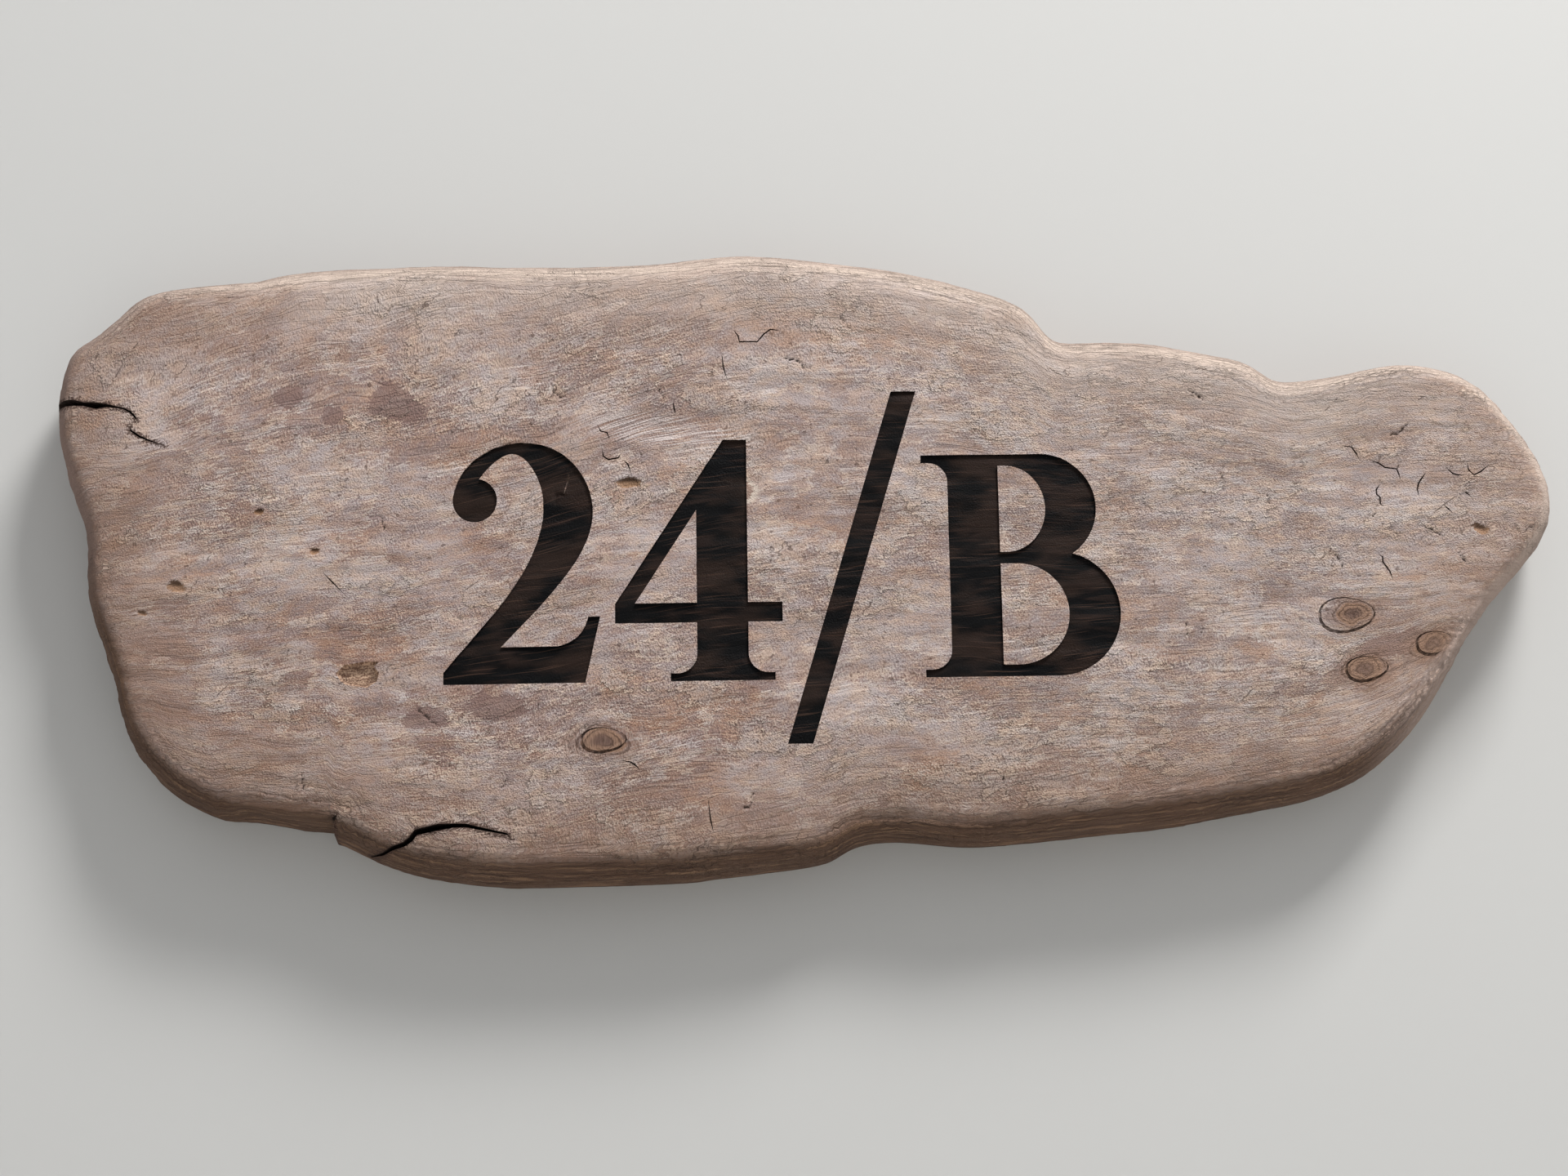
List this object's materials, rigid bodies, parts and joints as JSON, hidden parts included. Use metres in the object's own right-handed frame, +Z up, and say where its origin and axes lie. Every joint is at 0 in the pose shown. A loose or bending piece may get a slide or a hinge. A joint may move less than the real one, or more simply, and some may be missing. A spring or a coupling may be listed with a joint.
{
  "type": "house number plaque",
  "caption": "Water-worn driftwood slab with a house number burnt into its face, hung flat on a wall by concealed pins in its back.",
  "frame": {"origin": "on the flat back, at the middle of the plaque's length and height", "axes": "+X along the grain to the viewer's right, +Y out of the back into the wall, +Z up"},
  "size_m": [0.4635, 0.028, 0.1994],
  "materials": {
    "driftwood": "weathered, dry and matt, with the number charred near black"
  },
  "bodies": {
    "root": {"driftwood_plaque": "driftwood"}
  },
  "joints": []
}
